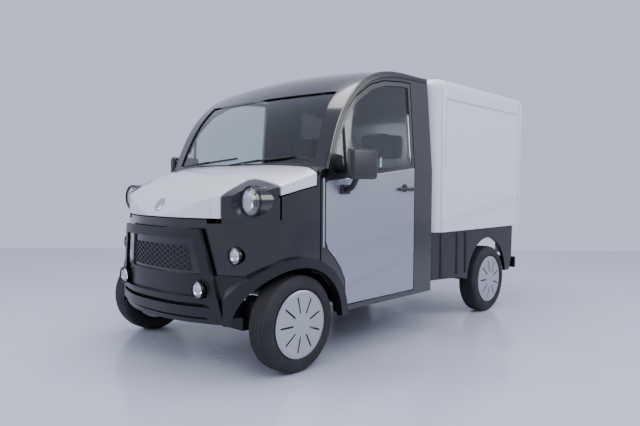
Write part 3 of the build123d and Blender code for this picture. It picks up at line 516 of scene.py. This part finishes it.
class MICROCAR_OT_finishes(bpy.types.Operator):
    """Gives every carried-over node its finish"""

    bl_idname = "microcar.finishes"
    bl_label = "Finishes"

    def execute(self, context):
        colours = context.scene.microcar_colours
        # Silver-white base coat under clear lacquer: bright, with a soft sheen over fine flake.
        silver_white = lacquer("sprayed_silver_white", colours.bonnet, "#F0F1F5", 0.35, 0.30, 0.8)[0]
        # High-gloss black lacquer: near-mirror reflections of the studio lights.
        black_gloss = lacquer("gloss_black_lacquer", colours.black, "#111114", 0.0, 0.18, 0.7)[0]
        # Silver wheel lacquer on pressed steel and ABS caps: a soft metallic grey.
        wheel_silver = lacquer("silver_wheel_lacquer", "#9C9EA6", "#B5B7BE", 0.65, 0.34, 0.4)[0]
        # Satin black ABS, injection moulded: soft highlights, the finest grain.
        black_satin = moulded_plastic("moulded_black_abs", "#0C0C0E", "#131316", 0.34, 1.2, 0.10)
        # Black chassis paint on welded steel: dull, slightly uneven.
        steel = moulded_plastic("black_painted_steel", "#16161A", "#202024", 0.5, 3.0, 0.1)
        # Grained vinyl skin of the dashboard: dull, with a visible grain.
        vinyl = moulded_plastic("grained_dash_vinyl", "#1D1D20", "#232327", 0.6, 2.0, 0.3)
        # Float glass with the faint green of its edge.
        glass = clear_glass("window_glass", "#DDE6E6")
        paint_nodes(silver_white, "bonnet")
        paint_nodes(door_lacquer(colours.door, colours.black), "door_left_panel", "door_right_panel")
        paint_nodes(black_gloss, "nose_panel", "headlamp_housings", "cab_frame", "roof_panel")
        paint_nodes(black_satin, "bumper", "front_guard", "grille", "side_skirts", "rear_bumper", "cowl",
                    "door_left_fittings", "door_right_fittings", "floor_pan")
        paint_nodes(white_gelcoat(colours.box), "box_body", "rear_door_left", "rear_door_right")
        paint_nodes(glass, "windscreen", "door_left_glass", "door_right_glass", "lamp_lenses")
        paint_nodes(steel, "chassis_frame", "front_suspension", "rear_axle", "drive_unit", "battery_pack",
                    "knuckle_left", "knuckle_right", "rear_lamps")
        paint_nodes(vinyl, "dashboard", "steering_column", "steering_wheel", "seats")
        for place, axle_x in (("front", FRONT_AXLE_X), ("rear", REAR_AXLE_X)):
            paint_nodes(tyre_rubber(place, axle_x), f"tyre_{place}_left", f"tyre_{place}_right")
            paint_nodes(wheel_silver, f"wheel_{place}_left", f"wheel_{place}_right")
        return {"FINISHED"}


class MICROCAR_OT_lamps(bpy.types.Operator):
    """Makes the head, turn and fog lamps: bright bowl, bulb, domed lens and rim"""

    bl_idname = "microcar.lamps"
    bl_label = "Lamps"

    def execute(self, context):
        # Vacuum-metallised reflector: a bright mirror with small facets.
        bright_bowl, tree, surface = new_material("metallised_reflector", "#D8DADF", 1.0, 0.10)
        points = add_node(tree, "ShaderNodeTexCoord").outputs["Object"]
        facets = add_node(tree, "ShaderNodeTexVoronoi", {"Vector": points, "Scale": 120.0})
        bump = add_node(tree, "ShaderNodeBump", {"Height": facets, "Strength": 0.15, "Distance": 0.002})
        tree.links.new(bump.outputs[0], surface.inputs["Normal"])
        # Pressed lamp glass: almost colourless.
        lens = clear_glass("pressed_lamp_glass", "#F4F7F8")
        # Frosted bulb glass: warm white, with a faint glow.
        bulb = new_material("frosted_bulb_glass", "#F2EFE6", 0.0, 0.3,
                            {"Emission Color": linear_colour("#FFF6E0"), "Emission Strength": 0.4})[0]
        # Glossy black ABS rim: a sharp ring of highlight.
        rim = moulded_plastic("gloss_black_lamp_rim", "#0C0C0E", "#131316", 0.22, 1.0, 0.05)
        rims, bowls, domes, bulbs = [], [], [], []
        for side in (-1, 1):
            for y, z, front, lens_radius in (HEADLAMP, TURN_LAMP, FOG_LAMP):
                centre = Vector((ahead(front), side * y, z))
                radius = lens_radius - LENS_GAP
                for pieces, profile in ((bowls, BOWL), (domes, DOME), (rims, RIM)):
                    pieces.append(turned([(share * radius, depth) for share, depth in profile], centre))
                bulb_centre = centre + Vector((0, 0, lens_radius / 4))
                bulbs.append(turned(BULB, bulb_centre, steps=24, closed=False))
        finish_piece(join(bowls), "lamp_reflectors", bright_bowl, "chassis")
        finish_piece(join(bulbs), "lamp_bulbs", bulb, "chassis")
        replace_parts(finish_piece(join(domes), "lamp_domes", lens, "chassis"), "lamp_lenses")
        finish_piece(join(rims), "lamp_rims", rim, "chassis")
        return {"FINISHED"}


class MICROCAR_OT_grille(bpy.types.Operator):
    """Makes the diamond mesh of the grille and of the lower intake"""

    bl_idname = "microcar.grille"
    bl_label = "Grille mesh"

    def execute(self, context):
        # Black ABS mesh, moulded: a satin edge on each bar.
        mesh_plastic = moulded_plastic("grille_black_abs", "#1A1A1E", "#26262B", 0.38, 1.2, 0.08)
        net = join([lattice(way, *opening) for opening in (UPPER_GRILLE, LOWER_INTAKE) for way in (-1, 1)])
        lay_on_nose(net, NODES["grille"])
        finish_piece(net, "grille_mesh", mesh_plastic, "chassis", 60)
        return {"FINISHED"}


def lattice(way, low, high, half_low, half_high, pitch_y, pitch_z):
    """Flat slanting bars across one opening, all leaning one way and cut to the opening's outline."""
    lean = atan2(pitch_z, pitch_y)
    deselect_all()
    bpy.ops.mesh.primitive_cube_add(size=1, location=(0, 0, 0))
    bars = bpy.context.object
    bars.scale = (GRILLE_BAR_DEPTH, (high - low) / sin(lean) + 0.04, GRILLE_BAR_THICKNESS)
    bpy.ops.object.transform_apply(location=False, rotation=False, scale=True)
    bpy.ops.object.mode_set(mode="EDIT")
    bpy.ops.mesh.select_all(action="SELECT")
    bpy.ops.mesh.subdivide(number_cuts=GRILLE_BAR_CUTS)
    bpy.ops.object.mode_set(mode="OBJECT")
    run = (high - low) * pitch_y / pitch_z
    bars.rotation_euler = (way * lean, 0, 0)
    bars.location = (ahead(NET_START), -half_low - run / 2 - pitch_y, (low + high) / 2)
    bpy.ops.object.transform_apply(location=True, rotation=True, scale=True)
    add_modifier(bars, "ARRAY", count=int((2 * half_low + run) / pitch_y) + 3, use_relative_offset=False,
                 use_constant_offset=True, constant_offset_displace=(0, pitch_y, 0))
    bpy.ops.object.modifier_apply(modifier="array")
    bpy.ops.object.mode_set(mode="EDIT")
    flare = (half_low - half_high) / (high - low)
    for place, outwards in (((0, 0, low + NET_TRIM), (0, 0, -1)), ((0, 0, high - NET_TRIM), (0, 0, 1)),
                            ((0, half_low - NET_TRIM, low), (0, 1, flare)),
                            ((0, -half_low + NET_TRIM, low), (0, -1, flare))):
        bpy.ops.mesh.select_all(action="SELECT")
        bpy.ops.mesh.bisect(plane_co=place, plane_no=outwards, clear_outer=True, use_fill=True)
    bpy.ops.object.mode_set(mode="OBJECT")
    return bars


def lay_on_nose(net, guide):
    """Moves a flat net's points along the vehicle until the net lies just proud of the guide's surface."""
    for vertex in net.data.vertices:
        hit, place, _, _ = guide.ray_cast(Vector((ahead(0.6), vertex.co.y, vertex.co.z)), Vector((-1, 0, 0)))
        if not hit:
            _, place, _, _ = guide.closest_point_on_mesh(Vector((ahead(0.36), vertex.co.y, vertex.co.z)))
        vertex.co.x += place.x - ahead(NET_START) + NET_PROUD


class MICROCAR_OT_mirrors_and_handles(bpy.types.Operator):
    """Makes the door mirrors on their arms and the pull handles with their knobs"""

    bl_idname = "microcar.mirrors_and_handles"
    bl_label = "Mirrors and handles"

    def execute(self, context):
        sizes = context.scene.microcar_sizes
        # Black ABS shell, moulded: a satin sheen.
        shell = moulded_plastic("mirror_shell_abs", "#1B1B1F", "#26262B", 0.32, 1.0, 0.06)
        for side, name in SIDES:
            arm = rod([(ahead(-0.356), side * 0.748, 0.970), (ahead(-0.356), side * 0.790, 0.975),
                       (ahead(-0.350), side * 0.825, 1.005), (ahead(-0.350), side * 0.850, 1.060)],
                      sizes.mirror_arm_radius)
            fittings = [
                rounded_block((ahead(-0.497), 0.833, 1.030), (ahead(-0.260), 0.884, 1.204), 0.024, 6),
                rounded_block((ahead(-0.396), 0.7455, 0.946), (ahead(-0.318), 0.762, 1.000), 0.006),
                rounded_block((ahead(-1.062), 0.7545, 0.965), (ahead(-0.880), 0.7665, 0.985), 0.005),
                turned(KNOB, (ahead(-0.958), 0.7455, 0.982), (0, 1, 0), 32, False),
                turned(HANDLE_BOSS, (ahead(-1.046), 0.7455, 0.975), (0, 1, 0), 24, False),
            ]
            for piece in fittings:
                piece.scale = (1, side, 1)
            whole = finish_piece(join([arm, *fittings]), f"door_{name}_mirror_and_handle", shell, f"door_{name}")
            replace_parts(whole, f"door_{name}_fittings")
        return {"FINISHED"}


class MICROCAR_OT_trim(bpy.types.Operator):
    """Makes the wipers, door strips, belt trim, window posts, roof rails, skirt ribs and plain badge"""

    bl_idname = "microcar.trim"
    bl_label = "Trim"

    def execute(self, context):
        sizes = context.scene.microcar_sizes
        # Polished aluminium strip: a thin bright line.
        bright = new_material("polished_trim_strip", "#C4C7CE", 0.9, 0.22)[0]
        # Moulded rubber: dull black.
        rubber = moulded_plastic("wiper_rubber", "#0E0E10", "#161618", 0.6, 2.0, 0.1)
        # Satin black lacquer on the pillars: one long soft highlight.
        band = moulded_plastic("satin_black_pillar_lacquer", "#101013", "#16161A", 0.26, 1.0, 0.04)
        finish_piece(join(wiper(0.10, 0.50) + wiper(-0.42, 0.02)), "wipers", rubber, "chassis")
        for side, name in SIDES:
            strip = rod([(ahead(-0.1845), side * 0.7445, z) for z in (0.655, 0.80, 0.95, 1.035)],
                        sizes.door_strip_radius)
            finish_piece(strip, f"door_strip_{name}", bright, "chassis")
            belt = rod([(ahead(x), side * 0.7455, belt_height(x)) for x in (-0.215, -0.5, -0.8, -1.062)],
                       sizes.belt_trim_radius)
            finish_piece(belt, f"belt_trim_{name}", bright, f"door_{name}")
            post = rod([(ahead(-0.379), side * y, z) for y, z in ((0.740, 1.066), (0.727, 1.20), (0.716, 1.335))],
                       sizes.window_post_radius)
            finish_piece(post, f"quarter_window_post_{name}", band, f"door_{name}")
            rail = rod(roof_edge(side), sizes.roof_rail_radius)
            finish_piece(rail, f"roof_rail_{name}", band, "chassis")
            inner_y, outer_y = sorted((side * 0.730, side * 0.741))
            ribs = [rounded_block((ahead(x) - 0.016, inner_y, 0.345), (ahead(x) + 0.016, outer_y, 0.655), 0.005, 2)
                    for x in (-1.300, -1.442, -1.670, -1.800)]
            finish_piece(join(ribs), f"skirt_ribs_{name}", rubber, "chassis")
        radius = sizes.badge_radius
        badge = turned([(0, 0.005), (radius - 0.009, 0.005), (radius - 0.003, 0.003), (radius, 0), (radius, -0.003),
                        (0, -0.003)], (0, 0, 0), closed=False)
        badge.location, outwards = surface_point("bonnet", (ahead(0.9), 0, 0.885))
        badge.rotation_euler = outwards.to_track_quat("X", "Z").to_euler()
        finish_piece(badge, "plain_badge", bright, "bonnet")
        return {"FINISHED"}


def surface_point(node, start):
    """Where a line from start towards the rear meets a node, and the surface's direction there."""
    hit, place, outwards, _ = NODES[node].ray_cast(Vector(start), Vector((-1, 0, 0)))
    if not hit:
        raise RuntimeError(f"A piece that should sit on {node} misses it")
    return place, outwards


def wiper(start_y, end_y):
    """The blade and the arm of one wiper, laid on the windscreen."""
    points = []
    for share in (0.0, 0.35, 0.7, 1.0):
        start = (ahead(0.3), start_y + (end_y - start_y) * share, 1.128 + 0.030 * share)
        place, outwards = surface_point("windscreen", start)
        points.append(place + outwards * 0.010)
    return [rod(points, 0.006), rod([points[0] + Vector((0.03, -0.10, -0.012)), points[1] + Vector((0.006, 0, 0.004))],
                                    0.005)]


def roof_edge(side):
    """The middle line of the rail along one upper edge of the cab, 14 mm inside the edge."""
    inset, points = 0.014, []
    for run, rise in ROOF_EDGE_SHARES:
        z = SHOULDER_HEIGHT + rise * ROOF_EDGE_RISE
        y = SIDE_Y - LEAN_IN * (z - SHOULDER_HEIGHT) / LEAN_RISE
        front = -0.150 - 0.060 * (y / SIDE_Y) ** 2
        points.append((ahead(front + run * (CAB_REAR - front) - 0.010), side * (y - inset), z - inset))
    return points


class MICROCAR_OT_seats(bpy.types.Operator):
    """Makes the two padded seats with their headrests, posts and bases"""

    bl_idname = "microcar.seats"
    bl_label = "Seats"

    def execute(self, context):
        cloth = seat_cloth(context.scene.microcar_colours.seat)
        # Moulded plastic of the seat base: dull black.
        plastic = moulded_plastic("seat_base_plastic", "#17171A", "#1E1E22", 0.6, 2.0, 0.2)
        # Chromed steel tube: a thin bright line.
        chrome = new_material("chromed_headrest_post", "#D5D7DC", 1.0, 0.12)[0]
        for side, name in SIDES:
            y = side * SEAT_Y
            for part, half_width, rear, front, low, high, lean, fill in (
                    ("cushion", SEAT_HALF_WIDTH, -1.010, -0.650, 0.482, 0.618, 0.0, 0.8),
                    ("back", SEAT_HALF_WIDTH, -1.160, -1.062, 0.600, 1.128, BACK_LEAN, 0.8),
                    ("headrest", HEADREST_HALF_WIDTH, -1.215, -1.135, 1.195, 1.368, 0.0, 0.9)):
                pad = cushion_form((ahead(rear), y - half_width, low), (ahead(front), y + half_width, high), lean)
                finish_piece(pad, f"seat_{name}_{part}", cloth, "chassis", 80)
            base = rounded_block((ahead(-1.050), y - BASE_HALF_WIDTH, 0.338),
                                 (ahead(-0.750), y + BASE_HALF_WIDTH, 0.484), 0.015)
            finish_piece(base, f"seat_{name}_base", plastic, "chassis")
            if name == "left":
                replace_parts(base, "seats")
            posts = [rod([(ahead(-1.165), y + offset, 1.100), (ahead(-1.170), y + offset, 1.215)],
                         context.scene.microcar_sizes.headrest_post_radius, False) for offset in (-POST_Y, POST_Y)]
            finish_piece(join(posts), f"seat_{name}_posts", chrome, "chassis")
        return {"FINISHED"}


def seat_cloth(colour):
    """Flat-woven upholstery cloth, its threads drawn far coarser than real so that they show."""
    cloth, tree, surface = new_material("woven_seat_cloth", colour, 0.0, 0.9,
                                        {"Sheen Weight": 0.3, "Sheen Roughness": 0.5})
    points = add_node(tree, "ShaderNodeTexCoord").outputs["Object"]
    waves = [add_node(tree, "ShaderNodeTexWave", {"Vector": points, "Scale": 80.0, "Distortion": 0.4},
                      bands_direction=direction).outputs["Fac"] for direction in ("X", "Z")]
    threads = add_node(tree, MATH, {0: waves[0], 1: waves[1]}, operation="MULTIPLY")
    base = add_node(tree, "ShaderNodeMix", {0: threads, 6: "#2C2C31", 7: colour}, data_type="RGBA").outputs[2]
    tree.links.new(base, surface.inputs["Base Color"])
    bump = add_node(tree, "ShaderNodeBump", {"Height": threads, "Strength": 0.3, "Distance": 0.001})
    tree.links.new(bump.outputs[0], surface.inputs["Normal"])
    return cloth


class MICROCAR_OT_rear(bpy.types.Operator):
    """Makes the tail lamps and the blank number plate"""

    bl_idname = "microcar.rear"
    bl_label = "Rear fittings"

    def execute(self, context):
        # Painted aluminium plate: cream, softly glossy.
        plate_enamel = new_material("blank_plate_enamel", "#E6E2D2", 0.0, 0.35)[0]
        low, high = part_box("rear_lamps")
        inner_y, outer_y = 0.560, 0.700
        lamps = []
        for side in (-1, 1):
            y0, y1 = sorted((side * inner_y, side * outer_y))
            lamps.append(rounded_block((low[0], y0, low[2]), (high[0], y1, high[2]), 0.012, 4))
        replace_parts(finish_piece(join(lamps), "tail_lamps", tail_lamp_moulding(), "chassis"), "rear_lamps")
        bumper_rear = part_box("rear_bumper")[0][0]
        plate = rounded_block((bumper_rear - 0.003, -0.26, 0.301), (bumper_rear + 0.001, 0.26, 0.391), 0.001, 2)
        finish_piece(plate, "rear_plate", plate_enamel, "chassis")
        return {"FINISHED"}


def tail_lamp_moulding():
    """Moulded acrylic: white at the foot, red, then amber at the top, under fine upright ribs."""
    red, amber_from, white_below, edge = "#A01414", 0.553, 0.485, 0.002
    lamp, tree, surface = new_material("moulded_tail_lamp", red, 0.0, 0.12, {"Coat Weight": 0.6})
    points = add_node(tree, "ShaderNodeTexCoord").outputs["Object"]
    split = add_node(tree, "ShaderNodeSeparateXYZ", {"Vector": points})
    base = red
    for start, to_low, to_high, colour in ((amber_from, 0.0, 1.0, "#C8660F"), (white_below, 1.0, 0.0, "#D8D8DA")):
        share = add_node(tree, "ShaderNodeMapRange",
                         {"Value": split.outputs["Z"], "From Min": start, "From Max": start + edge, "To Min": to_low,
                          "To Max": to_high}, interpolation_type="SMOOTHSTEP")
        base = add_node(tree, "ShaderNodeMix", {0: share, 6: base, 7: colour}, data_type="RGBA").outputs[2]
    tree.links.new(base, surface.inputs["Base Color"])
    ribs = add_node(tree, "ShaderNodeTexWave", {"Vector": points, "Scale": 60.0}, bands_direction="Y").outputs["Fac"]
    bump = add_node(tree, "ShaderNodeBump", {"Height": ribs, "Strength": 0.25, "Distance": 0.002})
    tree.links.new(bump.outputs[0], surface.inputs["Normal"])
    return lamp


class MICROCAR_OT_stage(bpy.types.Operator):
    """Builds the floor, the backdrop's light, the lamps of the studio and the camera"""

    bl_idname = "microcar.stage"
    bl_label = "Stage"

    def execute(self, context):
        studio = context.scene.microcar_studio
        # The floor ends where the photograph's floor meets its backdrop, and the air's colour goes on from there.
        deselect_all()
        bpy.ops.mesh.primitive_plane_add(size=1, location=(0, 0, 0))
        floor = context.object
        floor.scale = (studio.floor_depth, studio.floor_width, 1)
        floor.rotation_euler = (0, 0, studio.camera_heading)
        bpy.ops.object.transform_apply(location=True, rotation=True, scale=True)
        floor.name = "floor"
        floor.data.materials.append(floor_screed(studio.floor_colour))
        world = bpy.data.worlds.new("studio_air")
        world.use_nodes = True
        air = world.node_tree.nodes["Background"]
        air.inputs["Color"].default_value = linear_colour(studio.air_colour)
        air.inputs["Strength"].default_value = studio.air_strength
        context.scene.world = world
        for name, place, target, size, power in LIGHTS:
            bpy.ops.object.light_add(type="AREA", location=place)
            light = context.object
            light.name = name
            light.data.energy = power
            light.data.size = size
            light.rotation_euler = (Vector(target) - Vector(place)).to_track_quat("-Z", "Y").to_euler()
        add_camera(context, studio)
        return {"FINISHED"}


def floor_screed(colour):
    """Polished screed: pale and softly mirroring, a little cloudy."""
    material, tree, surface = new_material("polished_studio_floor", colour, 0.0, 0.22, {"IOR": 1.45})
    points = add_node(tree, "ShaderNodeTexCoord").outputs["Object"]
    cloud = add_node(tree, "ShaderNodeTexNoise", {"Vector": points, "Scale": 1.2, "Detail": 5.0})
    base = add_node(tree, "ShaderNodeMix", {0: cloud, 6: colour, 7: "#CDD0DC"}, data_type="RGBA").outputs[2]
    tree.links.new(base, surface.inputs["Base Color"])
    rough = add_node(tree, "ShaderNodeMapRange",
                     {"Value": cloud, "From Min": 0.35, "From Max": 0.7, "To Min": 0.16, "To Max": 0.32},
                     interpolation_type="SMOOTHSTEP")
    tree.links.new(rough.outputs[0], surface.inputs["Roughness"])
    return material


def add_camera(context, studio):
    """The camera that took the photograph, in the vehicle's frame."""
    forward = Vector((cos(studio.camera_pitch) * cos(studio.camera_heading),
                      cos(studio.camera_pitch) * sin(studio.camera_heading), sin(studio.camera_pitch)))
    right = Vector((sin(studio.camera_heading), -cos(studio.camera_heading), 0))
    up = right.cross(forward)
    rolled_right = cos(studio.camera_roll) * right + sin(studio.camera_roll) * up
    rolled_up = -sin(studio.camera_roll) * right + cos(studio.camera_roll) * up
    bpy.ops.object.camera_add()
    camera = context.object
    camera.name = "photo_camera"
    turn = Matrix((rolled_right, rolled_up, -forward)).transposed()
    camera.matrix_world = Matrix.Translation(
        (ahead(studio.camera_ahead), studio.camera_left, studio.camera_height)) @ turn.to_4x4()
    camera.data.sensor_width = 36.0
    camera.data.lens = camera.data.sensor_width * studio.focal_share
    context.scene.camera = camera


class MICROCAR_PT_panel(bpy.types.Panel):
    """Lists the microcar's operators"""

    bl_label = "Microcar"
    bl_idname = "MICROCAR_PT_panel"
    bl_space_type = "VIEW_3D"
    bl_region_type = "UI"
    bl_category = "Microcar"

    def draw(self, context):
        for operator in OPERATORS:
            self.layout.operator(operator.bl_idname)


OPERATORS = (MICROCAR_OT_finishes, MICROCAR_OT_lamps, MICROCAR_OT_grille, MICROCAR_OT_mirrors_and_handles,
             MICROCAR_OT_trim, MICROCAR_OT_seats, MICROCAR_OT_rear, MICROCAR_OT_stage)
GROUPS = {"microcar_studio": MicrocarStudio, "microcar_colours": MicrocarColours, "microcar_sizes": MicrocarSizes}
CLASSES = (*GROUPS.values(), *OPERATORS, MICROCAR_PT_panel)


def register():
    for cls in CLASSES:
        bpy.utils.register_class(cls)
    for name, group in GROUPS.items():
        setattr(bpy.types.Scene, name, bpy.props.PointerProperty(type=group))


def unregister():
    for name in GROUPS:
        delattr(bpy.types.Scene, name)
    for cls in reversed(CLASSES):
        bpy.utils.unregister_class(cls)


def main():
    register()
    for operator in OPERATORS:
        package, name = operator.bl_idname.split(".")
        getattr(getattr(bpy.ops, package), name)()


if __name__ == "__main__":
    main()
